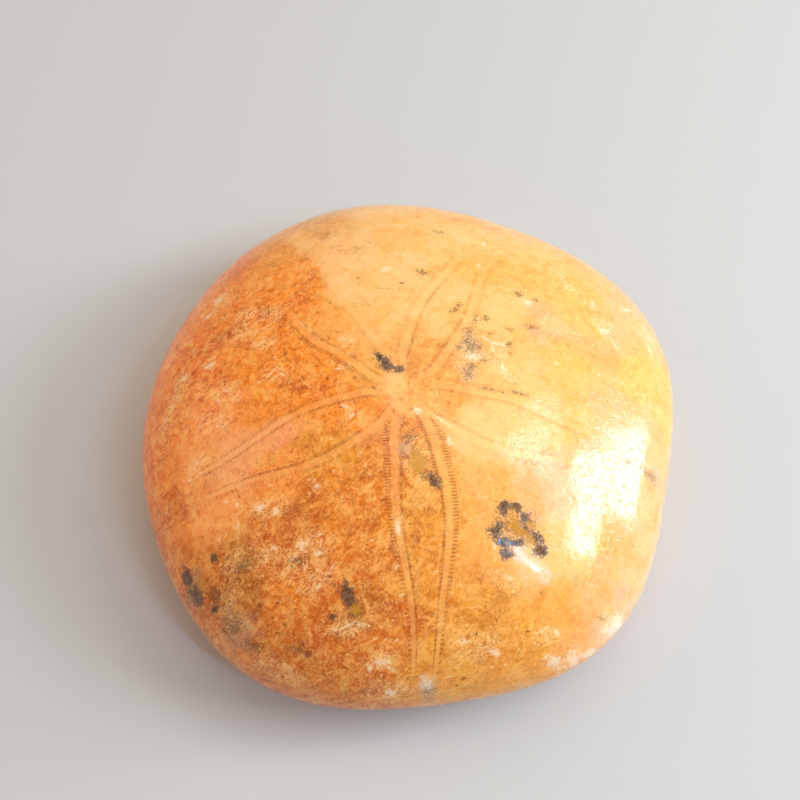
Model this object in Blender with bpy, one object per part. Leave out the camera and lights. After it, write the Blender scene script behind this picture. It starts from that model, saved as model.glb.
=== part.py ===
"""A polished fossil sea urchin, the low, five-petalled kind: one solid stone that rests on its underside.

The stone is a low dome with a rounded rim. Seen from above it is round with five soft corners. Its
underside is a flat ring to rest on, around a shallow hollow with the five-cornered mouth in it. Five
faint furrows run out from the mouth, one under each petal, and a small oval pit lies near the back rim.

Every level of the surface is the outline of the widest level, shrunk: above the rim it shrinks towards
the top of the dome, and below the rim towards the mouth. So one share, 1 at the rim and 0 at the centre,
and one direction name each point of the surface.

+Y points to the back, +X to the right, and the origin is under the middle of the stone, at its base.
"""
import bpy
import numpy as np

# The dome, in metres
HEIGHT = 0.0285               # the base to the top of the dome
RIM_HEIGHT = 0.0090           # the base to the widest level
OUTLINE_RADIUS = 0.0402       # the mean radius of the widest level
TOP_PLACE = (-0.0009, -0.0025)     # the top of the dome, from the middle of the outline
DOME_FALL = 1.75              # how late the dome falls away from its top

# The outline of the widest level is a circle with waves: (waves around it, height as a share of the
# radius, direction of one crest in degrees)
OUTLINE_WAVES = (
    (2, 0.0127, 74.0),
    (3, 0.0104, 11.0),
    (4, 0.0175, 36.0),
    (5, 0.0178, 26.0),
    (6, 0.0050, 11.0),
)

# The five rays of the animal's body, in degrees about the middle of the outline, the front one first
RAY_DIRECTIONS = (275.0, 338.5, 67.0, 134.0, 206.0)

# The underside, as shares of the outline and metres
FOOT_OUTER = 0.80             # the outer edge of the flat ring
FOOT_INNER = 0.56             # the inner edge of the flat ring
HOLLOW_DEPTH = 0.0016         # the shallow hollow inside the ring
FURROW_DEPTH = 0.0005
FURROW_WIDTH = 0.0030
MOUTH_PLACE = (-0.0006, -0.0045)   # the middle of the mouth, from the middle of the outline
MOUTH_RADIUS = 0.0050
MOUTH_CORNER = 0.0008         # how far the mouth's corners reach past its mean radius
CORNER_WIDTH = 23.0           # degrees
MOUTH_DEPTH = 0.0032
VENT_PLACE = (-0.0030, 0.0262)     # the oval pit near the back rim, from the middle of the outline
VENT_HALF_SIZE = (0.0024, 0.0036)
VENT_DEPTH = 0.0016

# Faces around the stone, and rings of faces on each stretch from the top to the mouth
COLUMNS = 96
DOME_RINGS = 17
RIM_RINGS = 6
FOOT_RINGS = 7
HOLLOW_RINGS = 7
MOUTH_RINGS = 5

STONE_COLOUR = (0.70, 0.33, 0.09, 1.0)
STONE_ROUGHNESS = 0.12


def smooth_step(share):
    """0 below 0, 1 above 1, and 3 s squared less 2 s cubed in between."""
    s = np.clip(share, 0.0, 1.0)
    return s * s * (3.0 - 2.0 * s)


def outline_point(angle):
    """The widest level: the mean radius times 1 plus a cosine for each wave."""
    radius = np.ones_like(angle)
    for count, height, crest in OUTLINE_WAVES:
        radius = radius + height * np.cos(count * (angle - np.radians(crest)))
    return OUTLINE_RADIUS * radius * np.cos(angle), OUTLINE_RADIUS * radius * np.sin(angle)


def mouth_point(angle):
    """The mouth's edge about its own middle: a circle with a bell-shaped corner on each ray."""
    corner = np.zeros_like(angle)
    for direction in RAY_DIRECTIONS:
        turn = np.remainder(angle - np.radians(direction) + np.pi, 2.0 * np.pi) - np.pi
        corner = corner + np.exp(-(turn / np.radians(CORNER_WIDTH)) ** 2)
    radius = MOUTH_RADIUS + MOUTH_CORNER * (2.0 * corner - 1.0)
    return MOUTH_PLACE[0] + radius * np.cos(angle), MOUTH_PLACE[1] + radius * np.sin(angle)


def towards(centre, share, x, y):
    """The ring x, y, shrunk to a share of its size about a centre."""
    return centre[0] + share * (x - centre[0]), centre[1] + share * (y - centre[1])


def dome_rings(angle):
    """From just under the top to the rim: the outline's share grows as the height falls on an oval arc."""
    outline = outline_point(angle)
    for turn in np.radians(np.linspace(0.0, 90.0, DOME_RINGS + 1))[1:]:
        share = np.sin(turn)
        fall = np.sqrt(max(1.0 - share ** DOME_FALL, 0.0))
        yield *towards(TOP_PLACE, share, *outline), RIM_HEIGHT + (HEIGHT - RIM_HEIGHT) * fall


def rim_rings(angle):
    """From below the rim down to the flat ring: a quarter of an ellipse."""
    outline = outline_point(angle)
    for turn in np.radians(np.linspace(0.0, 90.0, RIM_RINGS + 1))[1:-1]:
        share = 1.0 - (1.0 - FOOT_OUTER) * (1.0 - np.cos(turn))
        yield *towards(MOUTH_PLACE, share, *outline), RIM_HEIGHT * (1.0 - np.sin(turn))


def foot_rings(angle):
    """Across the flat ring, with the oval pit in it: its depth falls smoothly from its middle."""
    outline = outline_point(angle)
    for share in np.linspace(FOOT_OUTER, FOOT_INNER, FOOT_RINGS + 1):
        x, y = towards(MOUTH_PLACE, share, *outline)
        reach = np.hypot((x - VENT_PLACE[0]) / VENT_HALF_SIZE[0], (y - VENT_PLACE[1]) / VENT_HALF_SIZE[1])
        yield x, y, VENT_DEPTH * smooth_step(1.5 - reach)


def hollow_rings(angle):
    """The rings change from the outline's shape to the mouth's, and rise, with a furrow along each ray."""
    outer = towards(MOUTH_PLACE, FOOT_INNER, *outline_point(angle))
    inner = mouth_point(angle)
    for step in np.linspace(0.0, 1.0, HOLLOW_RINGS + 1)[1:]:
        x = (1.0 - step) * outer[0] + step * inner[0]
        y = (1.0 - step) * outer[1] + step * inner[1]
        furrow = np.zeros_like(angle)
        for direction in RAY_DIRECTIONS:
            turn = angle - np.radians(direction)
            across = np.hypot(x - MOUTH_PLACE[0], y - MOUTH_PLACE[1]) * np.sin(turn)
            bell = np.exp(-(2.0 * across / FURROW_WIDTH) ** 2)
            furrow = np.maximum(furrow, np.where(np.cos(turn) > 0.0, bell, 0.0))
        yield x, y, smooth_step(step) * (HOLLOW_DEPTH + FURROW_DEPTH * furrow)


def mouth_rings(angle):
    """Down into the mouth: a round-edged bowl whose depth grows as a quarter of a sine wave."""
    edge = mouth_point(angle)
    for turn in np.radians(np.linspace(90.0, 0.0, MOUTH_RINGS + 1))[1:-1]:
        share = np.sin(turn)
        yield *towards(MOUTH_PLACE, share, *edge), HOLLOW_DEPTH + MOUTH_DEPTH * smooth_step(2.0 - 2.0 * share)


def stone_points():
    """Every ring from the top of the dome to the mouth, with the two centres at the ends."""
    angle = np.linspace(0.0, 2.0 * np.pi, COLUMNS, endpoint=False)
    points = [(*TOP_PLACE, HEIGHT)]
    for rings in (dome_rings, rim_rings, foot_rings, hollow_rings, mouth_rings):
        for x, y, height in rings(angle):
            points += list(zip(x, y, np.broadcast_to(height, x.shape)))
    points.append((*MOUTH_PLACE, HOLLOW_DEPTH + MOUTH_DEPTH))
    outline_x, outline_y = outline_point(angle)
    middle_x = (outline_x.max() + outline_x.min()) / 2.0
    middle_y = (outline_y.max() + outline_y.min()) / 2.0
    return np.array(points) - (middle_x, middle_y, 0.0)


def stone_faces(point_count):
    """Quads between neighbouring rings, and a fan of triangles round each centre, all facing out."""
    here = range(1, COLUMNS + 1)
    after = [*range(2, COLUMNS + 1), 1]
    faces = [(0, a, b) for a, b in zip(here, after)]
    for inner in range(0, point_count - 2 - COLUMNS, COLUMNS):
        outer = inner + COLUMNS
        faces += [(inner + a, outer + a, outer + b, inner + b) for a, b in zip(here, after)]
    last_ring = point_count - 2 - COLUMNS
    faces += [(last_ring + b, last_ring + a, point_count - 1) for a, b in zip(here, after)]
    return faces


def stone_material():
    """Polished orange-amber calcite."""
    material = bpy.data.materials.new("polished_calcite")
    material.use_nodes = True
    shader = material.node_tree.nodes["Principled BSDF"]
    shader.inputs["Base Color"].default_value = STONE_COLOUR
    shader.inputs["Roughness"].default_value = STONE_ROUGHNESS
    shader.inputs["Metallic"].default_value = 0.0
    material.diffuse_color = STONE_COLOUR
    return material


def make_stone():
    """The whole fossil, as one object."""
    points = stone_points()
    mesh = bpy.data.meshes.new("fossil_urchin")
    mesh.from_pydata(points.tolist(), [], stone_faces(len(points)))
    mesh.materials.append(stone_material())
    mesh.shade_smooth()
    stone = bpy.data.objects.new("fossil_urchin", mesh)
    bpy.context.scene.collection.objects.link(stone)
    return stone


def main():
    for old in list(bpy.data.objects):
        bpy.data.objects.remove(old, do_unlink=True)
    make_stone()


main()
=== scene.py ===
"""The looks of a polished fossil sea urchin: a low, five-petalled stone dome of amber calcite.

One finely meshed piece stands for the stone. It has the frame's own shape, worked out on a finer grid,
with slight swells and with the rows of pores sunk by a hair. Its colours come from soft regions of
stain, from patches of dark mineral, and from the five petals' own coordinates, all in millimetres on
the stone, with a band of painted light, paler and bluer, low on the right rim.
"""
import math

import bpy
import numpy as np
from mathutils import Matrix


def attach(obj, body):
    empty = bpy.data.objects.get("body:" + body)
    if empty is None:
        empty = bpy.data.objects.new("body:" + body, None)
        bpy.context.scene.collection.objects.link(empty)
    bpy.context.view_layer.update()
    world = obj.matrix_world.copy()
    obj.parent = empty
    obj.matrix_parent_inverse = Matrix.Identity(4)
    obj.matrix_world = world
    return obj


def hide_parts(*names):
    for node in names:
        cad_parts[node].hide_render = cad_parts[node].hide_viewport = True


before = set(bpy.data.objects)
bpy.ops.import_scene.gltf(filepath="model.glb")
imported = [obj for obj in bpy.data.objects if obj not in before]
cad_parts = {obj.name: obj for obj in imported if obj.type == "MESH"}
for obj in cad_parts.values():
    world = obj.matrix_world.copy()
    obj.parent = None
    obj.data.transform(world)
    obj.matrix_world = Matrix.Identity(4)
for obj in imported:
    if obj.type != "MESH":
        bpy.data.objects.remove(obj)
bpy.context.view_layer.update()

MM = 0.001

# ---------------------------------------------------------------- the stone's sizes, in millimetres

HEIGHT = 28.5
RIM_HEIGHT = 9.0
OUTLINE_RADIUS = 40.2
TOP_PLACE = (-0.9, -2.5)
DOME_FALL = 1.75
OUTLINE_WAVES = (
    (2, 0.0127, 74.0),
    (3, 0.0104, 11.0),
    (4, 0.0175, 36.0),
    (5, 0.0178, 26.0),
    (6, 0.0050, 11.0),
)
RAY_DIRECTIONS = (275.0, 338.5, 67.0, 134.0, 206.0)
FOOT_OUTER = 0.80
FOOT_INNER = 0.56
HOLLOW_DEPTH = 1.6
FURROW_DEPTH = 0.5
FURROW_WIDTH = 3.0
MOUTH_PLACE = (-0.6, -4.5)
MOUTH_RADIUS = 5.0
MOUTH_CORNER = 0.8
CORNER_WIDTH = 23.0
MOUTH_DEPTH = 3.2
VENT_PLACE = (-3.0, 26.2)
VENT_HALF_SIZE = (2.4, 3.6)
VENT_DEPTH = 1.6

# The fine grid: columns around, and rings on each stretch from the top to the mouth
COLUMNS = 384
DOME_RINGS = 140
RIM_RINGS = 30
FOOT_RINGS = 22
HOLLOW_RINGS = 22
MOUTH_RINGS = 14

# Slight swells of the polished surface: height and width in millimetres, and the seed of their noise
SWELLS = ((0.10, 14.0, 5), (0.02, 4.0, 6))
PORE_SINK = 0.012                          # how far the rows of pores are sunk, in millimetres

# The flat maps: how far the underside lies from the dome, and the baked square's shares and margin
UNDERSIDE_APART = 200.0
DOME_SHARE = 0.372
UNDER_SHARE = 0.196
MAP_MARGIN = 0.006

# ---------------------------------------------------------------- the petals, in millimetres

# Direction in degrees about the top and length in millimetres to where its two sides meet again, the part
# of it that shows pores, its middle line (root, slope and bend to the left), half its width (tail, bell,
# place and spread of the bell), the width of its pore zones and how much they taper, and how dark the
# inner and the outer rows are on its left and on its right
PETALS = (
    ((276.0, 44.0, 36.5), (0.2, 3.9, -6.3), (1.2, 1.5, 0.38, 0.21), (2.2, 0.80), (0.95, 0.9, 1.0, 0.8)),
    ((341.5, 36.0, 25.0), (0.3, -2.9, 7.3), (1.45, 1.60, 0.41, 0.23), (1.7, 0.10), (0.50, 0.30, 0.45, 0.28)),
    ((66.5, 36.0, 26.0), (-0.4, 1.5, -1.4), (1.30, 1.45, 0.38, 0.22), (1.8, 0.20), (0.60, 0.35, 0.55, 0.25)),
    ((131.0, 33.0, 21.0), (-0.1, 0.2, 1.0), (1.10, 1.70, 0.47, 0.20), (1.5, 0.00), (0.80, 0.95, 0.25, 0.12)),
    ((204.0, 37.0, 30.0), (0.5, 1.3, -4.1), (1.35, 1.85, 0.37, 0.23), (1.7, 0.60), (0.90, 0.50, 0.80, 0.50)),
)
PORE_PITCH = 0.38                          # at the top, and what it has grown by at the petal's end
PORE_GROWTH = 0.40

# ---------------------------------------------------------------- the stone's colours

# Stains of the calcite: colour as on a colour card (0 to 255), how mottled, how full of pale flecks
STAINS = {
    "pale": ((249, 176, 112), 0.20, 0.18),
    "cream": ((250, 191, 114), 0.20, 0.14),
    "yellow": ((250, 183, 98), 0.26, 0.20),
    "sand": ((236, 172, 92), 0.50, 0.30),
    "tan": ((249, 167, 72), 0.40, 0.22),
    "amber": ((244, 156, 46), 0.60, 0.30),
    "honey": ((236, 147, 36), 0.72, 0.34),
    "orange": ((253, 141, 14), 0.85, 0.32),
    "russet": ((230, 124, 8), 0.85, 0.30),
    "rust": ((252, 127, 2), 0.95, 0.44),
    "brown": ((222, 110, 4), 0.78, 0.44),
    "olive": ((196, 106, 16), 0.76, 0.45),
    "peach": ((254, 150, 58), 0.62, 0.34),
    "salmon": ((254, 162, 98), 0.42, 0.20),
}
# Where each stain lies, seen from above: x, y and reach in millimetres
STAINED_REGIONS = (
    ("cream", -4, 25, 8), ("yellow", 1, 27, 4), ("cream", 6, 29, 7), ("cream", -6, 13, 6),
    ("cream", 2, 13, 6), ("sand", 8, 5, 3), ("yellow", 11, 21, 7), ("cream", 13, 12, 5),
    ("yellow", 21, 18, 6), ("pale", 19, 10, 4), ("yellow", 25, 12, 3), ("pale", 31, 15, 6),
    ("yellow", 20, 3, 5), ("pale", 27, 8, 4), ("yellow", 33, 4, 5), ("yellow", 17, -5, 7),
    ("pale", 28, -4, 6), ("cream", 10, -9.5, 4.5), ("tan", 10, -14, 4), ("pale", 20, -14, 6),
    ("pale", 30, -14, 7), ("cream", 19, -24, 5), ("pale", 28, -23, 6), ("pale", 26, -30, 4),
    ("sand", -13, 30, 4), ("cream", -16, 26, 3), ("cream", -12, 19, 3.5), ("tan", -8, 8, 3),
    ("tan", -6, 0, 3), ("honey", 3.5, 3.5, 3.2), ("honey", 5, -2, 3.5), ("tan", 0.5, 8, 2),
    ("cream", -1, -3, 2), ("honey", 6.8, -5, 3.2), ("amber", -21, 23, 4), ("rust", -25, 23, 3),
    ("orange", -18, 14, 6), ("rust", -15, 16, 2.5), ("tan", -12, 9, 3.5), ("orange", -26, 16, 6),
    ("orange", -13, 2, 5), ("orange", -22, 5, 6), ("rust", -31, 7, 6), ("rust", -29, -1, 5),
    ("rust", -36, -4, 6), ("orange", -17, -3, 5), ("orange", -7, -6, 4), ("salmon", -18, -8, 4.5),
    ("salmon", -23, -11, 5), ("peach", -29, -9, 5), ("peach", -26, -17, 6), ("peach", -16, -15, 4),
    ("honey", -11, -12, 4), ("russet", -5, -13, 4), ("russet", -11, -18, 4), ("russet", -6, -19, 4),
    ("honey", 1, -14, 3), ("honey", 1, -21, 4), ("amber", 5, -14, 3), ("brown", -18, -23, 5),
    ("olive", -24, -24, 4), ("brown", -33, -20, 5), ("russet", -9, -23, 4), ("brown", -5, -25, 4),
    ("olive", -22, -30, 5), ("brown", -29, -28, 5), ("orange", -16, -29, 4), ("brown", -11, -30, 4),
    ("olive", -7, -32, 4), ("brown", -20, -36, 6), ("brown", -12, -37, 6), ("honey", 1, -27, 4),
    ("brown", -1, -31, 3), ("brown", -3, -36, 5), ("amber", 5, -36, 5), ("tan", 9, -24, 4.5),
    ("honey", 9, -31, 5), ("amber", 15, -34, 5), ("tan", 19, -30, 4),
)
UNDERSIDE_REGIONS = (
    ("amber", 0, 0, 14), ("rust", -22, -6, 12), ("honey", 16, 14, 12), ("orange", -10, 24, 10),
    ("tan", 26, -8, 9), ("brown", -12, -24, 10), ("honey", 12, -26, 9), ("olive", -2, 30, 6),
)
STAIN_SHARPNESS = 5.0
STAIN_SWAY = 2.2                           # how far soft noise shifts a stain, and the width of that noise
STAIN_SWAY_WIDTH = 9.0
SIDE_SWAY = 0.35                           # what the sway gains for each millimetre down the side
FRAY = 0.5                                 # the same for the ragged edge
FRAY_WIDTH = 1.6
SIDE_STRETCH = 0.9                         # how much of a mark's run down the side is taken back

# Patches, seen from above: x, y, half length, half width in millimetres, and the turn in degrees
BLACK_PATCHES = (
    (-4.3, 2.3, 1.4, 0.9, -50), (-3.2, 0.9, 1.7, 1.1, -40), (-1.7, 0.3, 1.5, 0.9, 15),
    (11.8, -18, 1.8, 1.2, 60), (13.2, -17.9, 1.8, 0.9, 0), (14.5, -19.2, 2.2, 0.9, -40),
    (14.5, -20.8, 1.8, 1.1, -60), (15.8, -21.6, 2, 1.3, -50), (16.3, -23, 1.6, 1.4, 0),
    (10.6, -21.1, 1.9, 1.4, 60), (11.4, -22.3, 2.2, 0.9, -20), (13.2, -22.4, 2.2, 0.8, 10),
    (11.9, -23.7, 1.3, 1.1, 0), (-8.1, -28.7, 2.3, 1.5, -60), (-7.1, -30.6, 1.3, 0.9, -60),
    (-10, -31.1, 0.9, 0.6, 10), (-30, -24.2, 2.4, 1.2, -60), (-28.4, -26.8, 2.4, 1.4, -65),
    (-25.9, -22.9, 1, 0.8, -40), (-25.9, -28.8, 1.2, 0.7, 20), (2.9, -15.2, 1.5, 1.1, -50),
    (-24.4, -31.4, 1.2, 0.3, -45),
)
SPECKLED_PATCHES = (
    (5.9, 10.4, 1.2, 0.8, 20), (6.7, 11.4, 0.9, 0.8, 0), (7.7, 7, 1, 1.2, 0), (7.5, 5.2, 1.2, 1.3, 0),
    (6.5, 4, 1.2, 0.7, 0), (9.2, 4.2, 0.8, 0.9, 0), (8, 1.2, 1.7, 1.2, 0), (7.4, 0, 1.3, 1.5, 0),
    (9.8, 2.1, 1.2, 0.7, 0), (10.3, 9.4, 1, 0.9, 0), (8.9, 9.2, 0.7, 1.6, 0), (8, 4.2, 1.5, 3.2, 0),
    (13.5, 7.8, 1.2, 0.6, -20), (16.5, 8.5, 2, 0.7, 5), (13.3, 5.2, 0.9, 0.9, 0),
    (15.3, 14.4, 1.6, 1.2, -50), (17.8, 13.8, 1, 0.8, -40), (10.3, -2.2, 2.6, 0.6, -6),
    (14.5, -2.4, 2.4, 0.5, -8), (-4, 1.8, 2.2, 1.6, -40), (1.5, 17.6, 2, 1, -10), (4.3, 27.4, 1.2, 1, -30),
    (13.4, -20.4, 4.2, 3.6, -40), (-25.5, -27.4, 2.6, 1.8, -50), (-21.6, -24.4, 2.8, 1.4, 30),
    (-14.4, -24.6, 2.2, 1, 20), (2, -38.6, 1.6, 1.4, 0), (30, -9.4, 3.6, 1.3, 0),
    (24.9, -29.8, 1.4, 0.8, 0), (-23.4, -31, 2.6, 2, -40), (-20.5, -33.4, 2.6, 1.2, -20),
    (-14.5, -34.4, 2.6, 0.9, -10), (-29.4, -25.6, 1.6, 3.4, -25), (-0.3, -9.3, 1.5, 1.4, 0),
    (0.2, -11.6, 1.2, 1.6, 0), (1.6, -14.4, 1.6, 1.1, -30), (33, -10, 2.6, 1.2, -10),
)
BROWN_PATCHES = (
    (-26.9, 9.2, 1.9, 1.8, 0), (-19.9, 10.7, 2.4, 1.5, 0), (-15, 15.5, 1.6, 2.4, 0),
    (-26.2, 22.5, 2.6, 1, 45), (-13, 27, 1.6, 1.2, 0), (-9.3, 23.1, 2.3, 0.8, -10), (6, 32.2, 1.8, 0.7, 0),
    (12.8, 29.7, 1.6, 0.8, -15), (2.8, 31.2, 2.2, 0.6, -15), (-14.3, -18.9, 2.4, 1.8, 0),
    (-5.1, -14.3, 1.5, 1, -20), (-7.1, -20.9, 1.8, 1.3, 0), (-23, -25.7, 1.8, 1.5, 0),
    (-1, -9.5, 0.7, 3.4, 4), (-0.2, -15.9, 1.4, 1.2, 0), (-0.6, -18, 0.7, 3, 6), (2.2, -18.4, 1.3, 1, 0),
    (0.6, -23, 1.2, 2.2, 0), (-13.2, -35.2, 1.2, 0.8, 10), (-17, -29.5, 2, 1.2, -30),
    (-31, -14.5, 2.2, 2, 0), (-33.6, 2.2, 1.2, 3.2, -15), (-31.4, -2.4, 1, 2.6, -15),
    (-29.6, 0.2, 1.6, 2, 0), (-15.4, -1, 1.6, 1.2, 0), (-22.6, 12.8, 1.4, 0.9, 30),
    (-8.5, -31.5, 2.5, 1.2, 0), (-25.8, 12.2, 2.2, 1.2, 60), (-10, 11, 0.9, 0.5, -30),
)
GREY_PATCHES = (
    (7.9, 4.4, 2.2, 3.4, 0), (7.6, -0.2, 1.8, 2.2, 0), (17.2, 7.7, 1.6, 1, 0), (34.4, -9.4, 1.8, 1.3, -60),
    (2.1, -38.6, 1.8, 1.8, 20), (24.4, -30.9, 1.6, 1, 40), (-22.6, -31.6, 4, 3, -30),
    (12.2, -22.4, 2.2, 1.2, -20), (-29, -26, 1.6, 3.4, -30), (27.7, -26.4, 1.3, 2, -30),
    (15.8, -19, 2.4, 1, -40), (-1, -11, 1.4, 1.6, 0), (-3.6, 1.6, 2.2, 1.2, -40),
    (34, -10.4, 2.4, 1.4, -20),
)
OCHRE_PATCHES = (
    (12.9, -19.7, 0.9, 2.1, 14), (15.2, -20.1, 1, 0.7, -40), (14.9, -21.6, 2.2, 0.8, -55),
    (13.6, -20.8, 1.2, 1, 0), (-7.1, -30.4, 1, 0.8, -60), (-27.6, -25.4, 1.2, 0.9, -60),
    (0.8, -12.6, 1.6, 2.6, 0),
)
RED_PATCHES = (
    (-17.2, 3.9, 0.8, 0.4, 80), (-13.2, -35.1, 0.7, 0.5, 10), (-11.3, -0.6, 0.4, 0.35, 0),
    (-12.7, 1.4, 0.35, 0.3, 0), (-7.5, 16.6, 0.35, 0.3, 0), (-19.4, -29.3, 0.7, 0.4, -30),
    (-16.2, -31.6, 0.6, 0.35, -20), (-1.3, 15.3, 0.5, 0.3, -20), (-10.4, -26.5, 0.5, 0.3, 10),
)
WHITE_PATCHES = (
    (18.6, -35, 1.9, 0.9, -10), (21.4, -34.4, 1.3, 1.4, 20), (23.6, -33.4, 1.6, 0.5, 20),
    (27, -30, 2.6, 1.3, 30), (-3.9, -36, 1.3, 0.4, 0), (0.7, -5.9, 0.9, 0.7, 0), (16.7, 13, 0.9, 0.9, 0),
    (8.2, 2.6, 1.5, 0.9, -20), (-28.2, 17, 1.8, 0.7, 55), (-29.6, 14.1, 1, 0.5, 40),
    (-32.2, 3.6, 0.9, 0.6, 40), (-28.2, 4.3, 1.1, 0.7, 0), (27.7, 9.8, 1.2, 1, 0),
    (10.9, 25.3, 0.6, 0.6, 0), (9.9, 19.6, 0.5, 0.9, -15), (-1.8, -20.7, 0.6, 1.1, 0),
    (1.8, -38, 1.3, 1.1, 0), (-2.8, -39, 1, 0.6, 0), (6.5, -33.6, 0.8, 0.4, 0), (10.6, -34.6, 1, 0.5, -30),
    (32.2, 16.2, 1.4, 0.6, 20), (-19.6, -17.6, 1, 0.5, -10), (-17.4, -18.1, 0.7, 0.6, 0),
    (4.8, -10, 0.5, 0.7, 0), (-12.3, -15.6, 0.6, 0.6, 0), (-13.9, -22.7, 0.9, 0.4, 50),
)
CRACKED_PATCHES = (
    (-28.6, -13.2, 7.5, 3.2, 8), (-20, -12, 4, 2, 30), (-22, 26, 8, 3, 40), (-14, 0, 3.5, 4, 0),
)
FROTHY_PATCHES = (
    (-22.4, 9, 3.4, 2.4, 0), (-19.9, 11.4, 2.6, 1.6, 0), (-20.4, 6.6, 2.6, 1.6, 0),
    (-28.2, 4.3, 1.8, 1.6, 0), (-32.4, 3, 1.6, 2.2, 0), (-33.8, -1.2, 1.6, 4.2, -20),
    (-25.2, -1.4, 2.4, 2.2, 0), (-27.6, -4.6, 2.2, 2, 0), (-18.6, 1, 2.4, 1.4, -20),
    (-8.9, 5.2, 1.6, 1.3, 0), (-9, 1, 1.6, 0.9, 0), (-7.8, -6, 1.7, 1.2, -40),
    (-28.9, -10.6, 1.6, 2.4, -30), (-18.6, -17.8, 3.4, 1.6, 0), (-14, -24, 4.2, 2.6, 35),
    (-12.6, -27, 2.6, 1.6, 30), (-18.5, -23.6, 2.2, 1.2, 20), (-22.8, -23.6, 2.2, 1.4, 30),
    (-24.2, -28.4, 2, 1.4, 30), (-8, -32.4, 3, 1.1, 5), (-4.2, -36, 2.4, 1, 0), (-3, -38.8, 3.6, 1.2, 0),
    (-1.8, -21, 1, 3, 0), (8, -34, 4, 2, 0), (12.5, -27, 3.6, 1.4, -20), (-17.6, -36.2, 5, 1.2, -25),
    (7, 3, 1.8, 3.2, 0), (11.8, 3, 1.6, 3, 0), (0.6, -13, 1.8, 4, 0), (-27.4, 16.2, 2.6, 2, 40),
    (20.4, 9.2, 3.2, 1.6, -35), (27.6, 11.4, 2.2, 1.8, 0), (23, 18, 3.4, 1.4, -40), (12, 24, 2.4, 1.4, -20),
    (-23.6, 11.8, 2.2, 1.8, 0), (-25.6, -5, 2.2, 1.4, -30), (26.8, -29.8, 2.6, 2, 0),
    (17.2, -32.6, 2.4, 1.4, 10),
)

# Marks like short threads: x, y, half length, half width in millimetres, and the turn in degrees
PALE_THREADS = (
    (-1.3, 21.4, 1.6, 0.18, -8), (-2.1, 28.9, 0.9, 0.2, 0), (-3.6, 18.5, 1.1, 0.25, 0),
    (-3.6, 17.6, 0.8, 0.2, 0), (15.9, 24.4, 0.4, 0.18, -40), (18.9, 20.4, 1, 0.1, -25),
    (21.3, 22.4, 0.8, 0.12, -50), (22.5, 19.6, 0.6, 0.26, -70), (22.8, 17.6, 0.5, 0.26, -70),
    (26, 14.8, 1.7, 0.12, 5), (26.5, 14.5, 1.3, 0.2, -62), (26.6, 15.2, 0.8, 0.12, 50),
    (32.6, 18.6, 0.8, 0.26, -35), (35.1, 9.3, 1.3, 0.28, -74), (34.8, 13.7, 0.5, 0.24, -60),
    (28.8, 8.3, 1.9, 0.22, -52), (11.8, 5.2, 1.1, 0.3, -4), (10.2, 5.8, 0.5, 0.25, -30),
    (11, 4, 0.7, 0.18, 90), (12.4, 1.2, 1.2, 0.24, -72), (13.1, -0.6, 0.8, 0.22, -40),
    (14.1, -0.1, 0.5, 0.2, -25), (20, 2.8, 0.6, 0.14, -12), (25.8, 2.4, 0.6, 0.14, 60),
    (27.3, -1.2, 0.5, 0.16, -60), (23.3, 8.4, 0.6, 0.16, 0), (12.2, -26.6, 1.3, 0.26, -27),
    (23.2, -26.2, 1.1, 0.1, -22), (16.8, -31.8, 0.9, 0.22, 40), (18.7, -32.4, 0.5, 0.4, 80),
    (-13.2, -22.4, 0.6, 0.22, 40), (-11.9, -23.6, 0.7, 0.27, 42), (-13.6, -25.4, 0.6, 0.19, 48),
    (-15.4, -24.2, 0.6, 0.24, 35), (-12, -27.6, 0.6, 0.22, 40), (-14.6, -28, 0.5, 0.16, 30),
    (-17.8, -23, 0.6, 0.27, -35), (-18.9, -24.4, 0.5, 0.19, 60), (-20.6, -22.2, 0.6, 0.16, 40),
    (-10.2, -25.6, 0.6, 0.16, 45), (-11.4, -21.4, 0.6, 0.16, 30), (-22.6, -19.4, 0.2, 0.81, 10),
    (-24.4, -15.9, 0.6, 0.3, -10), (-22.8, -16.6, 0.3, 0.27, -40), (-25, -20.8, 0.5, 0.16, 50),
    (-8.2, -32.2, 0.7, 0.16, 15), (-6.4, -32, 0.6, 0.19, -10), (-9.6, -32.8, 0.6, 0.14, 5),
    (-3.1, -35.6, 0.6, 0.22, 10), (-2.6, -36.6, 0.6, 0.19, -30), (-5.2, -36.6, 0.4, 0.27, 60),
    (-1.4, -28.8, 0.5, 0.16, 20), (-1.9, -25.6, 0.6, 0.19, 30), (-33.6, 0.8, 0.9, 0.27, 65),
    (-34.6, -2.2, 1, 0.35, 70), (-33.2, 2.6, 0.6, 0.16, 60), (-31, -2.6, 0.7, 0.14, 70),
    (-31.6, -5.2, 0.6, 0.14, 75), (-25, -0.4, 0.6, 0.19, -20), (-26.2, -1.8, 0.5, 0.16, 30),
    (-19, 1.4, 1, 0.12, 55), (-17.6, 0.9, 0.8, 0.12, -40), (-20.4, 0.2, 0.7, 0.12, 20),
    (-8.7, -5, 0.7, 0.19, -50), (-7.6, -6.4, 0.6, 0.3, 60), (-28.9, -9.8, 0.7, 0.16, 60),
    (-28.4, -11.4, 0.7, 0.14, -50), (-29.6, -12.2, 0.6, 0.12, 0), (-8.2, 5, 0.6, 0.19, 0),
    (-9.6, 5.6, 0.5, 0.16, 20), (-9.8, 0.8, 0.6, 0.16, 0), (4.6, -7.4, 1.8, 0.1, -25),
    (3.1, -6.6, 1.4, 0.16, -22), (-21.6, 8.2, 0.9, 0.12, 50), (-20.2, 9.2, 0.8, 0.14, 30),
    (-23.2, 10.4, 0.7, 0.1, 10), (-21, 6.6, 0.9, 0.1, 40),
)
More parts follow.
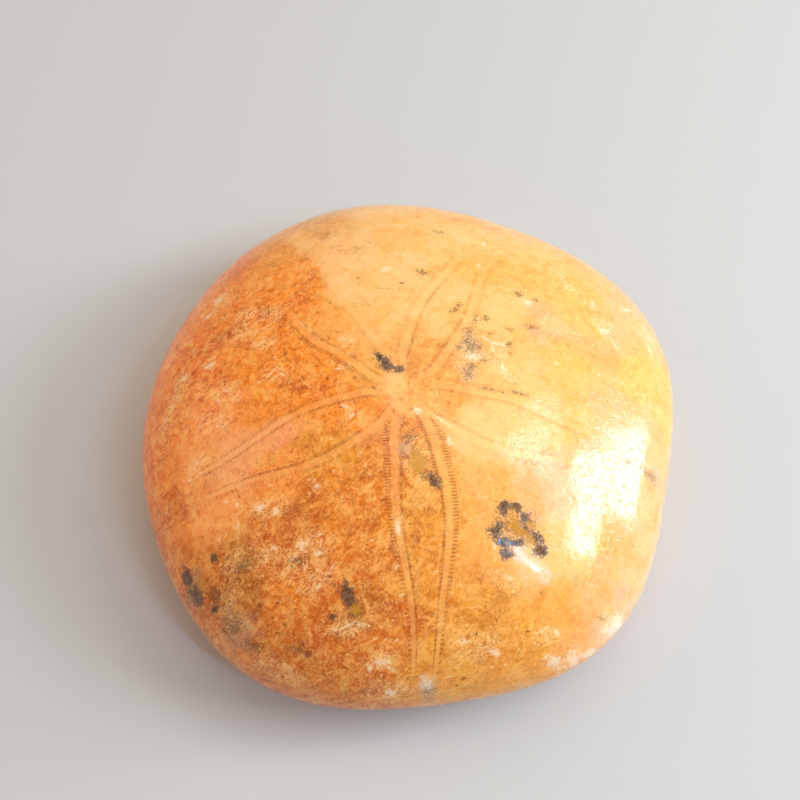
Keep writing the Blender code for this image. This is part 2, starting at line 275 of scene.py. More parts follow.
FAINT_THREADS = (
    (-14.3, 8.1, 3.4, 0.34, -48), (-9.4, 3.6, 2, 0.24, -32), (4.6, -27.4, 2.2, 0.12, 3),
    (7.4, -30.2, 3.2, 0.12, 3), (6, -32, 2.4, 0.12, -1), (12, -30.6, 1.6, 0.12, 40),
    (9.6, -28.6, 2, 0.12, -8), (13.6, -34, 1.4, 0.14, -55), (-14.2, -1, 1.8, 0.1, -50),
    (-16.4, -0.6, 1.4, 0.1, 10), (-12, 0.6, 1.8, 0.1, 70), (-10.6, 2.4, 1.6, 0.1, 85),
    (-15.4, 1.8, 1.2, 0.1, 30), (-13, -2.6, 2, 0.1, 15), (-17, -2.4, 1.6, 0.1, -60),
    (-9.4, 4.4, 1.6, 0.1, 85), (-11.8, -3.4, 1.6, 0.1, -20), (-24.6, 21, 2.4, 0.14, 50),
    (-21, 18, 2.6, 0.12, 45), (-19.8, 21.4, 2, 0.12, 60), (-17.2, 12, 2, 0.12, 50),
    (-26, 6.4, 1.6, 0.12, 20), (-30.6, 8, 2.4, 0.12, 5), (14, 26, 2.2, 0.16, -25), (8, 30, 1.8, 0.16, -10),
    (-2, 8.8, 2.4, 0.14, -50), (3.4, -15.6, 1.8, 0.14, 25), (1.2, -18.2, 1.6, 0.14, 20),
    (2.6, -22, 1.6, 0.12, 30), (9.4, -16.8, 2, 0.14, 20), (8.2, -20, 1.4, 0.14, -20),
    (24.6, 5, 1.4, 0.2, 80), (29.6, 12, 1.6, 0.22, 70), (18, 9.8, 2, 0.26, -30), (20, 8.6, 1.4, 0.22, 20),
)
DARK_THREADS = (
    (-9.4, 25.9, 2, 0.07, -14), (-6, 24.4, 1.6, 0.09, -38), (-3.8, 22.6, 1.5, 0.08, -42),
    (-2.8, 14.3, 2.9, 0.06, -3), (-6.9, 12.4, 1.9, 0.06, -60), (-5, 10.2, 1.4, 0.06, -42),
    (0.6, 21.2, 1.6, 0.07, -4), (30.2, -23.9, 0.8, 0.1, 60), (26.3, -30.3, 0.7, 0.1, -45),
    (1.7, -2.8, 1.6, 0.07, 90), (-0.9, -4.6, 0.8, 0.1, -30), (1, -8, 0.6, 0.16, 20),
    (2.2, 30.9, 1.4, 0.14, -20), (-16.6, -5.4, 3.2, 0.08, 22), (-22.4, -13.4, 1.7, 0.1, 58),
    (-24, -10.6, 1.3, 0.07, 20), (-21.6, -30, 1.6, 0.07, -20), (-25, -30.2, 1.2, 0.09, -50),
    (-23.2, -32.6, 1.4, 0.08, -45), (-21.6, -34.2, 1.2, 0.07, -35), (-19.8, -26.9, 2.2, 0.07, 0),
    (-16.8, 3.2, 1, 0.1, 80), (-14.2, -34, 1, 0.12, 50), (-16.4, -34.6, 0.8, 0.1, -30),
    (9.2, -29.2, 1.3, 0.06, 4), (10.6, -33.4, 1.2, 0.08, -15), (-30.6, -15.4, 2, 0.08, 15),
    (-33.4, -13, 1.8, 0.13, 25), (-33, -16.4, 2.4, 0.12, 18), (-34.6, -14.6, 1.4, 0.1, 30),
    (-12.6, -30, 0.7, 0.1, 20), (-8, -23, 0.5, 0.1, 0),
)
THREAD_SWAY = 0.30
THREAD_SWAY_WIDTH = 1.3
THREAD_REACH = 1.5                         # points further than this from every thread are put far along
FAR_ALONG = 9.0


# ================================================================ small numpy tools

def smooth_step(share):
    """0 below 0, 1 above 1, and 3 s squared less 2 s cubed in between."""
    s = np.clip(share, 0.0, 1.0)
    return s * s * (3.0 - 2.0 * s)


def cloud(x, y, size, seed, layers=3):
    """Soft noise from -1 to 1: random values on a lattice of the given size, blended by smooth steps,
    with finer layers of half the size and half the strength."""
    lattice = np.random.default_rng(seed).uniform(-1.0, 1.0, (layers, 64, 64))
    total = np.zeros_like(x)
    for layer in range(layers):
        u = x / size * 2.0 ** layer + 31.7
        v = y / size * 2.0 ** layer + 17.3
        column = np.floor(u).astype(int)
        row = np.floor(v).astype(int)
        across = smooth_step(u - column)
        up = smooth_step(v - row)
        left, right = column % 64, (column + 1) % 64
        below, above = row % 64, (row + 1) % 64
        grid = lattice[layer]
        low = (1 - across) * grid[below, left] + across * grid[below, right]
        high = (1 - across) * grid[above, left] + across * grid[above, right]
        total += 0.5 ** layer * ((1 - up) * low + up * high)
    return total


def turned_about(x, y, centre_x, centre_y, turn):
    """Places along and across an axis through a centre, turned by an angle in degrees."""
    c, s = math.cos(math.radians(turn)), math.sin(math.radians(turn))
    return c * (x - centre_x) + s * (y - centre_y), c * (y - centre_y) - s * (x - centre_x)


def patch_reach(x, y, patches):
    """1 in the middle of the nearest patch, 0 on its oval edge and down to -1 outside."""
    reach = np.full_like(x, -1.0)
    for centre_x, centre_y, half_length, half_width, turn in patches:
        along, across = turned_about(x, y, centre_x, centre_y, turn)
        reach = np.maximum(reach, 1.0 - np.hypot(along / half_length, across / half_width))
    return reach


def thread_place(x, y, threads):
    """Each point's place on its nearest thread: along it and across it, 1 at the tip and at the side.
    Soft noise sways the threads."""
    nearest = np.full_like(x, THREAD_REACH)
    place = np.full(x.shape + (2,), FAR_ALONG)
    x = x + THREAD_SWAY * cloud(x, y, THREAD_SWAY_WIDTH, 31, 2)
    y = y + THREAD_SWAY * cloud(x, y, THREAD_SWAY_WIDTH, 32, 2)
    for centre_x, centre_y, half_length, half_width, turn in threads:
        along, across = turned_about(x, y, centre_x, centre_y, turn)
        distance = np.hypot(np.maximum(np.abs(along) - half_length, 0.0), across)
        here = distance < nearest
        nearest = np.where(here, distance, nearest)
        place[here] = np.stack((along / half_length, across / half_width), axis=-1)[here]
    return place


def card(colour):
    """A colour-card value (0 to 255) as linear light."""
    share = np.array(colour, dtype=float) / 255.0
    return np.where(share <= 0.04045, share / 12.92, ((share + 0.055) / 1.055) ** 2.4)


# ================================================================ the stone's surface

def outline_point(angle):
    """The widest level: the mean radius times 1 plus a cosine for each wave."""
    radius = np.ones_like(angle)
    for count, height, crest in OUTLINE_WAVES:
        radius = radius + height * np.cos(count * (angle - np.radians(crest)))
    return OUTLINE_RADIUS * radius * np.cos(angle), OUTLINE_RADIUS * radius * np.sin(angle)


def mouth_point(angle):
    """The mouth's edge about its own middle: a circle with a bell-shaped corner on each ray."""
    corner = np.zeros_like(angle)
    for direction in RAY_DIRECTIONS:
        turn = np.remainder(angle - np.radians(direction) + np.pi, 2.0 * np.pi) - np.pi
        corner = corner + np.exp(-(turn / np.radians(CORNER_WIDTH)) ** 2)
    radius = MOUTH_RADIUS + MOUTH_CORNER * (2.0 * corner - 1.0)
    return MOUTH_PLACE[0] + radius * np.cos(angle), MOUTH_PLACE[1] + radius * np.sin(angle)


def towards(centre, share, x, y):
    """The ring x, y, shrunk to a share of its size about a centre."""
    return centre[0] + share * (x - centre[0]), centre[1] + share * (y - centre[1])


def dome_rings(angle):
    """From just under the top to the rim: the outline's share grows as the height falls on an oval arc."""
    outline = outline_point(angle)
    turn = np.radians(np.linspace(0.0, 90.0, DOME_RINGS + 1))[1:, None]
    share = np.sin(turn)
    fall = np.sqrt(np.clip(1.0 - share ** DOME_FALL, 0.0, 1.0))
    return *towards(TOP_PLACE, share, *outline), RIM_HEIGHT + (HEIGHT - RIM_HEIGHT) * fall


def rim_rings(angle):
    """From below the rim down to the flat ring: a quarter of an ellipse."""
    outline = outline_point(angle)
    turn = np.radians(np.linspace(0.0, 90.0, RIM_RINGS + 1))[1:-1, None]
    share = 1.0 - (1.0 - FOOT_OUTER) * (1.0 - np.cos(turn))
    return *towards(MOUTH_PLACE, share, *outline), RIM_HEIGHT * (1.0 - np.sin(turn))


def foot_rings(angle):
    """Across the flat ring, with the oval pit in it: its depth falls smoothly from its middle."""
    outline = outline_point(angle)
    share = np.linspace(FOOT_OUTER, FOOT_INNER, FOOT_RINGS + 1)[:, None]
    x, y = towards(MOUTH_PLACE, share, *outline)
    reach = np.hypot((x - VENT_PLACE[0]) / VENT_HALF_SIZE[0], (y - VENT_PLACE[1]) / VENT_HALF_SIZE[1])
    return x, y, VENT_DEPTH * smooth_step(1.5 - reach)


def hollow_rings(angle):
    """The rings change from the outline's shape to the mouth's, and rise, with a furrow along each ray."""
    outer = towards(MOUTH_PLACE, FOOT_INNER, *outline_point(angle))
    inner = mouth_point(angle)
    step = np.linspace(0.0, 1.0, HOLLOW_RINGS + 1)[1:, None]
    x = (1.0 - step) * outer[0] + step * inner[0]
    y = (1.0 - step) * outer[1] + step * inner[1]
    furrow = np.zeros_like(x)
    for direction in RAY_DIRECTIONS:
        turn = angle - np.radians(direction)
        across = np.hypot(x - MOUTH_PLACE[0], y - MOUTH_PLACE[1]) * np.sin(turn)
        bell = np.exp(-(2.0 * across / FURROW_WIDTH) ** 2)
        furrow = np.maximum(furrow, np.where(np.cos(turn) > 0.0, bell, 0.0))
    return x, y, smooth_step(step) * (HOLLOW_DEPTH + FURROW_DEPTH * furrow)


def mouth_rings(angle):
    """Down into the mouth: a round-edged bowl whose depth grows by a smooth step towards its middle."""
    edge = mouth_point(angle)
    share = np.sin(np.radians(np.linspace(90.0, 0.0, MOUTH_RINGS + 1))[1:-1, None])
    return *towards(MOUTH_PLACE, share, *edge), HOLLOW_DEPTH + MOUTH_DEPTH * smooth_step(2.0 - 2.0 * share)


def stone_points():
    """Every ring from the top of the dome to the mouth, with the two centres at the ends.

    Returns the points in millimetres, how many of them, from the top on, lie above the foot, and the
    outline's middle, which the points are counted from."""
    angle = np.linspace(0.0, 2.0 * np.pi, COLUMNS, endpoint=False)
    points = [np.array([(*TOP_PLACE, HEIGHT)])]
    for rings in (dome_rings, rim_rings, foot_rings, hollow_rings, mouth_rings):
        points.append(np.stack(np.broadcast_arrays(*rings(angle)), axis=-1).reshape(-1, 3))
    points.append(np.array([(*MOUTH_PLACE, HOLLOW_DEPTH + MOUTH_DEPTH)]))
    above_foot = sum(len(p) for p in points[:3])
    outline_x, outline_y = outline_point(angle)
    middle = ((outline_x.max() + outline_x.min()) / 2.0, (outline_y.max() + outline_y.min()) / 2.0, 0.0)
    return np.concatenate(points) - middle, above_foot, np.array(middle[:2])


def laid_flat(start, rings, centre):
    """The surface laid flat about a centre: each point keeps its direction and lies as far out as the
    mean way to its ring along the surface."""
    starts = np.broadcast_to(start, (1, COLUMNS, 3))
    steps = np.linalg.norm(np.diff(np.concatenate((starts, rings)), axis=0), axis=2)
    way = np.cumsum(steps.mean(axis=1))
    offset = rings[:, :, :2] - centre
    return offset / np.linalg.norm(offset, axis=2).mean(axis=1)[:, None, None] * way[:, None, None]


# ================================================================ petals

def petal_rows(sheet):
    """Each point's place in its nearest petal, from the sheet laid flat about the top.

    Returns the number of pores from the top, the place between the inner row (0) and the outer row (1),
    and how dark both rows are. The middle line is a parabola over the share of the petal's length, and
    the inner row's distance from it is a tail with a bell on it, closed at the root by a smooth step."""
    nearest = np.full(len(sheet), np.inf)
    count = np.zeros(len(sheet))
    zone = np.full(len(sheet), 5.0)
    ink = np.zeros((len(sheet), 2))
    growth = math.sqrt(PORE_GROWTH / PORE_PITCH)
    for (direction, length, shown), middle, (tail, bell, place, spread), (wide, taper), inks in PETALS:
        along, side = turned_about(sheet[:, 0], sheet[:, 1], 0.0, 0.0, direction)
        share = np.clip(along / length, 0.0, 1.3)
        side = side - (middle[0] + middle[1] * share + middle[2] * share ** 2)
        inner = smooth_step(share / 0.16) * (tail + bell * np.exp(-((share - place) / spread) ** 2))
        in_zone = (np.abs(side) - inner) / (wide * (1.0 - taper * share) * smooth_step(share / 0.10) + 0.05)
        pores = length / math.sqrt(PORE_PITCH * PORE_GROWTH) * np.arctan(share * growth)
        fade = smooth_step((along - 2.0) / 2.5) * smooth_step((shown + 2.0 - along) / 5.0)
        strength = fade[:, None] * np.where(side[:, None] > 0.0, inks[:2], inks[2:])
        here = (along > 0.0) & (np.abs(side) < nearest)
        nearest = np.where(here, np.abs(side), nearest)
        count = np.where(here, pores + np.where(side > 0.0, 0.5, 0.0), count)
        zone = np.where(here, in_zone, zone)
        ink = np.where(here[:, None], strength, ink)
    return count, np.clip(zone, -3.0, 5.0), ink


# ================================================================ stains

def stain_fields(x, y, regions, seed, depth):
    """Colour, mottling and flecks at each point: the mean of all regions, each weighted by the inverse
    of its distance over its reach, to a power. Soft noise shifts the places, so that no edge is even, and
    more so down the sides, where depth grows."""
    u, v = x + 0.9 * depth, y - 0.7 * depth
    sway = STAIN_SWAY + SIDE_SWAY * depth
    shift_x, shift_y = (
        sway * cloud(u, v, STAIN_SWAY_WIDTH, first) + FRAY * cloud(u, v, FRAY_WIDTH, first + 1)
        for first in (seed, seed + 2))
    total = np.zeros_like(x)
    fields = np.zeros(x.shape + (5,))
    for name, centre_x, centre_y, reach in regions:
        stain, mottled, flecked = STAINS[name]
        distance = np.hypot(x + shift_x - centre_x, y + shift_y - centre_y) / reach
        weight = 1.0 / (distance ** STAIN_SHARPNESS + 0.02)
        total += weight
        fields += weight[:, None] * (*card(stain), mottled, flecked)
    return fields / total[:, None]


# ================================================================ the mesh

def stone_faces(point_count):
    """Corner numbers of the faces, ring by ring, all facing out: fans at the ends and quads between."""
    here = np.arange(COLUMNS)
    after = (here + 1) % COLUMNS
    rings = (point_count - 2) // COLUMNS
    upper = 1 + np.arange(rings - 1)[:, None] * COLUMNS
    lower = upper + COLUMNS
    quads = np.stack((upper + here, lower + here, lower + after, upper + after), axis=-1).reshape(-1, 4)
    top_fan = np.stack((np.zeros_like(here), 1 + here, 1 + after), axis=-1)
    last = point_count - 1 - COLUMNS
    mouth_fan = np.stack((last + after, last + here, np.full_like(here, point_count - 1)), axis=-1)
    return top_fan, quads, mouth_fan


def add_fields(mesh, name, *fields):
    """Up to three numbers for each point, kept together as one vector attribute."""
    values = np.zeros((len(mesh.vertices), 3), dtype=np.float32)
    for part, field in enumerate(fields):
        values[:, part] = field
    mesh.attributes.new(name, "FLOAT_VECTOR", "POINT").data.foreach_set("vector", values.ravel())


def add_map(mesh, name, places):
    """A UV map from one place for each corner."""
    mesh.uv_layers.new(name=name).data.foreach_set("uv", places.astype(np.float32).ravel())


def make_stone():
    """The fine stone, with its flat maps and its fields as attributes."""
    points, above_foot, middle = stone_points()
    count = len(points)
    x, y, z = points.T
    on_dome = np.arange(count) < above_foot

    # Both sides laid flat: the dome about its top, and the underside about the mouth
    rings = points[1:-1].reshape(-1, COLUMNS, 3)
    dome_ring_count = (above_foot - 1) // COLUMNS + 1
    foot = 1 + (dome_ring_count - 1) * COLUMNS
    dome_sheet = np.zeros((count, 2))
    dome_flat = laid_flat(points[0], rings[:dome_ring_count], np.array(TOP_PLACE) - middle)
    dome_sheet[1:1 + dome_ring_count * COLUMNS] = dome_flat.reshape(-1, 2)
    under_sheet = np.zeros((count, 2))
    under_flat = laid_flat(points[-1], rings[dome_ring_count - 1:][::-1], np.array(MOUTH_PLACE) - middle)
    under_sheet[foot:count - 1] = under_flat[::-1].reshape(-1, 2)
    under_sheet[:, 0] *= -1.0

    # Where marks are looked up: their run down the side is partly taken back
    depth = np.clip(RIM_HEIGHT + 1.0 - z, 0.0, RIM_HEIGHT)
    spread = np.where(on_dome, 1.0 + SIDE_STRETCH * depth / OUTLINE_RADIUS, 1.0)
    plan_x, plan_y = spread * x, spread * y

    # Gentle swells of the hand-polished surface, and pore zones sunk by a hair
    pore_count, zone, ink = petal_rows(dome_sheet)
    ink = np.where(on_dome[:, None], ink, 0.0)
    swell = sum(height * cloud(x, y, width, seed, 2) for height, width, seed in SWELLS)
    sunk = PORE_SINK * ink[:, 0] * smooth_step(1.0 - np.abs(zone - 0.5) / 0.9)
    lift = np.where(on_dome, (swell - sunk) * smooth_step((z - 2.0) / 6.0), 0.0)
    placed = points + lift[:, None] * np.array((0.0, 0.0, 1.0))

    top_fan, quads, mouth_fan = stone_faces(count)
    corners = np.concatenate((top_fan.ravel(), quads.ravel(), mouth_fan.ravel()))
    face_sizes = np.array([3] * COLUMNS + [4] * len(quads) + [3] * COLUMNS)
    mesh = bpy.data.meshes.new("fossil_urchin_stone")
    mesh.vertices.add(count)
    mesh.vertices.foreach_set("co", (placed * MM).astype(np.float32).ravel())
    mesh.loops.add(len(corners))
    mesh.loops.foreach_set("vertex_index", corners.astype(np.int32))
    mesh.polygons.add(len(face_sizes))
    mesh.polygons.foreach_set("loop_start", (np.cumsum(face_sizes) - face_sizes).astype(np.int32))
    mesh.update(calc_edges=True)
    mesh.validate()
    mesh.shade_smooth()

    # The flat maps: one in metres for patterns, one that fills a square for the baked picture
    on_dome_face = np.arange(len(face_sizes)) < dome_ring_count * COLUMNS
    dome_corner = np.repeat(on_dome_face, face_sizes)[:, None]
    dome_place, under_place = dome_sheet[corners], under_sheet[corners]
    under_apart = under_place + (UNDERSIDE_APART, 0.0)
    add_map(mesh, "flat_sheet", np.where(dome_corner, dome_place, under_apart) * MM)
    dome_square = dome_place / np.abs(dome_sheet).max() * DOME_SHARE + DOME_SHARE + MAP_MARGIN
    under_square = under_place / np.abs(under_sheet).max() * UNDER_SHARE + 1.0 - UNDER_SHARE - MAP_MARGIN
    add_map(mesh, "OFBake", np.where(dome_corner, dome_square, under_square))

    # Stains, which pass into the underside's own near the floor
    top = stain_fields(plan_x, plan_y, STAINED_REGIONS, 11, depth)
    low = stain_fields(x, y, UNDERSIDE_REGIONS, 21, 0.0)
    top_share = np.where(on_dome, smooth_step((z - 1.0) / 5.0), 0.0)[:, None]
    red, green, blue, mottling, flecks = (top_share * top + (1.0 - top_share) * low).T

    def seen(patches):
        """How deep each point of the dome lies in its nearest patch."""
        return np.where(on_dome, patch_reach(plan_x, plan_y, patches), -1.0)

    # Painted light: a band low on the rim, from about 2 to 14 mm up, fading in towards the right, lit side
    rim_light_band = smooth_step((z - 2.0) / 3.0) * smooth_step((14.0 - z) / 2.0)
    rim_light_band = rim_light_band * smooth_step((x + y * 0.3 - 4.0) / 18.0)
    add_fields(mesh, "stain", red, green, blue)
    add_fields(mesh, "texture", mottling, flecks, seen(CRACKED_PATCHES))
    add_fields(mesh, "petal", pore_count, zone)
    add_fields(mesh, "petal_ink", ink[:, 0], ink[:, 1])
    add_fields(mesh, "dark_minerals", seen(BLACK_PATCHES), seen(SPECKLED_PATCHES), seen(GREY_PATCHES))
    add_fields(mesh, "bright_minerals", seen(WHITE_PATCHES), seen(OCHRE_PATCHES), seen(RED_PATCHES))
    add_fields(mesh, "soft_marks_and_rim_light", seen(BROWN_PATCHES), seen(FROTHY_PATCHES), rim_light_band)
    for name, threads in (("pale_threads", PALE_THREADS), ("faint_threads", FAINT_THREADS),
                          ("dark_threads", DARK_THREADS)):
        places = np.where(on_dome[:, None], thread_place(plan_x, plan_y, threads), FAR_ALONG)
        add_fields(mesh, name, places[:, 0], places[:, 1])

    stone = bpy.data.objects.new("polished_stone", mesh)
    bpy.context.scene.collection.objects.link(stone)
    return stone


# ================================================================ node tools

class Wiring:
    """Short ways to place nodes in one tree. Each returns an output socket."""

    def __init__(self, tree):
        self.tree = tree

    def place(self, kind, inputs=(), output=0, **settings):
        """A node of a kind, with its settings and its inputs, each a value or a socket."""
        node = self.tree.nodes.new(kind)
        for name, value in settings.items():
            setattr(node, name, value)
        for key, value in dict(inputs).items():
            if isinstance(value, bpy.types.NodeSocket):
                self.tree.links.new(value, node.inputs[key])
            else:
                node.inputs[key].default_value = value
        return node.outputs[output]

    def math(self, operation, *values):
        """A Math node."""
        return self.place("ShaderNodeMath", enumerate(values), operation=operation)

    def vector(self, operation, *values):
        """A Vector Math node."""
        return self.place("ShaderNodeVectorMath", enumerate(values), operation=operation)

    def group(self, tree, inputs):
        """A node group placed in this tree."""
        return self.place("ShaderNodeGroup", inputs, node_tree=tree)

    def times(self, *values):
        """The product of all the values."""
        product = values[0]
        for value in values[1:]:
            product = self.math("MULTIPLY", product, value)
        return product

    def plus(self, *values):
        """The sum of all the values."""
        total = values[0]
        for value in values[1:]:
            total = self.math("ADD", total, value)
        return total

    def divided(self, value, divisor):
        """One value over another."""
        return self.math("DIVIDE", value, divisor)

    def turned(self, vector, angle):
        """A vector turned about the upright axis."""
        return self.place("ShaderNodeVectorRotate", {"Vector": vector, "Angle": angle},
                          rotation_type="Z_AXIS")

    def far(self, along, across):
        """The root of the sum of two squares."""
        return self.math("SQRT", self.plus(self.times(along, along), self.times(across, across)))

    def rise(self, value, low, high):
        """0 below low, 1 above high, and a smooth step in between. High may be under low."""
        return self.place("ShaderNodeMapRange", {"Value": value, "From Min": low, "From Max": high},
                          interpolation_type="SMOOTHSTEP")

    def noise(self, vector, size, detail=3.0, roughness=0.55, twist=0.0):
        """Soft noise about 0.5, with its largest features about one size apart, in metres."""
        return self.place("ShaderNodeTexNoise", {"Vector": vector, "Scale": 1.0 / size, "Detail": detail,
                          "Roughness": roughness, "Distortion": twist}, "Fac")

    def swayed(self, vector, place, scale, detail, reach):
        """A vector moved about by coloured noise, so that what is drawn on it bends."""
        noise = {"Vector": place, "Scale": scale, "Detail": detail}
        sway = self.place("ShaderNodeTexNoise", noise, "Color")
        sway = self.place("ShaderNodeVectorMath", {0: sway, "Scale": reach}, operation="SCALE")
        return self.vector("ADD", vector, sway)

    def mix(self, share, below, above, blend="MIX"):
        """The colour below, changed towards the colour above by a share."""
        return self.place("ShaderNodeMix", {"Factor": share, "A": below, "B": above}, "Result",
                          data_type="RGBA", blend_type=blend)

    def split(self, vector):
        """The three parts of a vector."""
        parts = self.place("ShaderNodeSeparateXYZ", {0: vector}).node.outputs
        return parts[0], parts[1], parts[2]

    def attribute(self, name):
        """An attribute of the mesh, as a vector."""
        return self.place("ShaderNodeAttribute", (), "Vector", attribute_name=name)


def new_group(name, output, inputs):
    """An empty node group with one number as its output, a vector as its first input, where inputs says
    None, and numbers with these values as the others."""
    tree = bpy.data.node_groups.new(name, "ShaderNodeTree")
    for title, value in inputs.items():
        kind = "NodeSocketVector" if value is None else "NodeSocketFloat"
        socket = tree.interface.new_socket(title, in_out="INPUT", socket_type=kind)
        if value is not None:
            socket.default_value = value
    tree.interface.new_socket(output, in_out="OUTPUT", socket_type="NodeSocketFloat")
    entry = tree.nodes.new("NodeGroupInput")
    leave = tree.nodes.new("NodeGroupOutput")
    return tree, Wiring(tree), entry.outputs, leave.inputs[output]


def stroke_group():
    """Short strokes, each in a cell of its own and turned its own way about a main direction.

    A cell's point gives the stroke's middle, and its random colour the turn, whether it is there and how
    long it is. The mask is 1 where the place in the stroke's own oval is under 1."""
    tree, wires, given, mask = new_group("pale_strokes", "Mask", {
        "Vector": None, "Spacing": 0.002, "Length": 0.0006, "Width": 0.0001, "Share": 0.5, "Turn": 0.6,
        "Spread": 1.0})
    cells = wires.place("ShaderNodeTexVoronoi", {
        "Vector": given["Vector"], "Scale": wires.divided(1.0, given["Spacing"])},
        voronoi_dimensions="2D").node.outputs
    turn, chance, size = wires.split(cells["Color"])
    offset = wires.vector("SUBTRACT", given["Vector"], cells["Position"])
    angle = wires.math("SUBTRACT", wires.times(wires.plus(turn, -0.5), given["Spread"]), given["Turn"])
    along, across, _ = wires.split(wires.turned(offset, angle))
    along = wires.divided(along, wires.times(given["Length"], wires.plus(wires.times(size, 0.8), 0.5)))
    across = wires.divided(across, given["Width"])
    there = wires.rise(chance, given["Share"], wires.plus(given["Share"], -0.08))
    tree.links.new(wires.times(wires.rise(wires.far(along, across), 1.25, 0.45), there), mask)
    return tree


def streak_group():
    """Noise drawn out along one direction: its middle is 0.5, and high values are short ragged strokes."""
    tree, wires, given, value = new_group("streaky_noise", "Value", {
        "Vector": None, "Turn": 0.6, "Size": 0.0007})
    turned = wires.turned(given["Vector"], wires.times(given["Turn"], -1.0))
    noise = wires.place("ShaderNodeTexNoise", {
        "Vector": wires.vector("MULTIPLY", turned, (1.0, 3.4, 1.0)),
        "Scale": wires.divided(1.0, given["Size"]), "Detail": 2.0, "Roughness": 0.6}, "Fac",
        noise_dimensions="2D")
    tree.links.new(noise, value)
    return tree


def pore_group():
    """The two rows of a pore zone: round pores on the inner row and short slits on the outer one.

    A saw of the pore count gives the place between two pores, and the place across the zone gives the
    row. The mask is the darkness of the pores."""
    tree, wires, given, mask = new_group("pore_rows", "Mask", {
        "Count": 0.0, "Zone": 0.0, "Line": 0.0, "Comb": 0.0})
    pore = wires.rise(wires.math("PINGPONG", given["Count"], 0.5), 0.16, 0.38)
    line = wires.rise(wires.math("ABSOLUTE", given["Zone"]), 0.22, 0.05)
    line = wires.times(line, wires.plus(wires.times(pore, 0.45), 0.55), given["Line"])
    slit = wires.rise(wires.math("ABSOLUTE", wires.plus(given["Zone"], -1.0)), 0.33, 0.14)
    slit = wires.times(slit, wires.plus(wires.times(pore, 0.82), 0.18), given["Comb"])
    tree.links.new(wires.math("MAXIMUM", line, slit), mask)
    return tree


# ================================================================ the finish

# Tints that are laid over the stone, as linear light
TINTS = {
    "fair_mottle": (1.0, 0.43, 0.07),
    "fair_blotch": (1.0, 0.50, 0.12),
    "fair_grain": (1.0, 0.52, 0.14),
    "seam": (1.0, 0.48, 0.11),
    "least_froth": (1.0, 0.50, 0.12),
    "full_froth": (1.0, 0.62, 0.26),
    "curl": (1.0, 0.58, 0.20),
    "stroke": (1.0, 0.64, 0.28),
    "pin_speck": (0.24, 0.07, 0.012),
    "petal_band": (1.0, 0.55, 0.20),
    "faint_thread": (1.0, 0.58, 0.22),
    "pale_thread": (1.0, 0.80, 0.50),
    "grey_mineral": (0.54, 0.37, 0.23),
    "mineral_speck": (0.15, 0.08, 0.022),
    "black_mineral": (0.028, 0.014, 0.014),
    "dark_brown_mineral": (0.20, 0.10, 0.045),
    "ochre_mineral": (0.60, 0.24, 0.014),
    "red_mineral": (0.26, 0.06, 0.012),
    "white_mineral": (1.0, 0.82, 0.56),
}
# Shades that the stone's own colour is multiplied by
SHADES = {
    "warm_cloud": (1.0, 0.90, 0.66),
    "light_cloud": (1.02, 1.09, 1.24),
    "deep_mottle": (0.74, 0.58, 0.34),
    "deep_blotch": (0.80, 0.66, 0.44),
    "deep_milk": (0.99, 0.88, 0.70),
    "pale_milk": (1.0, 1.05, 1.34),
    "brown_blot": (0.72, 0.50, 0.30),
    "dark_grain": (0.76, 0.58, 0.38),
    "brown_dab": (0.66, 0.46, 0.26),
    "froth": (1.1, 1.24, 1.8),
    "between_froth": (0.76, 0.54, 0.36),
    "pore": (0.44, 0.31, 0.18),
    "dark_thread": (0.36, 0.24, 0.14),
    "crack": (0.40, 0.26, 0.16),
    # painted light for the low band of the right rim
    "painted_rim_light": (1.02, 1.09, 1.38),
}
# Layers of froth: the way its strokes lie, their size, and the size of the patches they lie in
FROTH_LAYERS = (
    (0.65, 0.00150, 0.0050),
    (0.75, 0.00080, 0.0040),
    (1.75, 0.00060, 0.0026),
    (-0.35, 0.00050, 0.0030),
)
# Layers of single strokes: spacing, length, width, and how far they turn from their main direction
STROKE_LAYERS = (
    (0.0009, 0.00020, 0.00009, 2.4),
    (0.0017, 0.00036, 0.00014, 1.4),
)


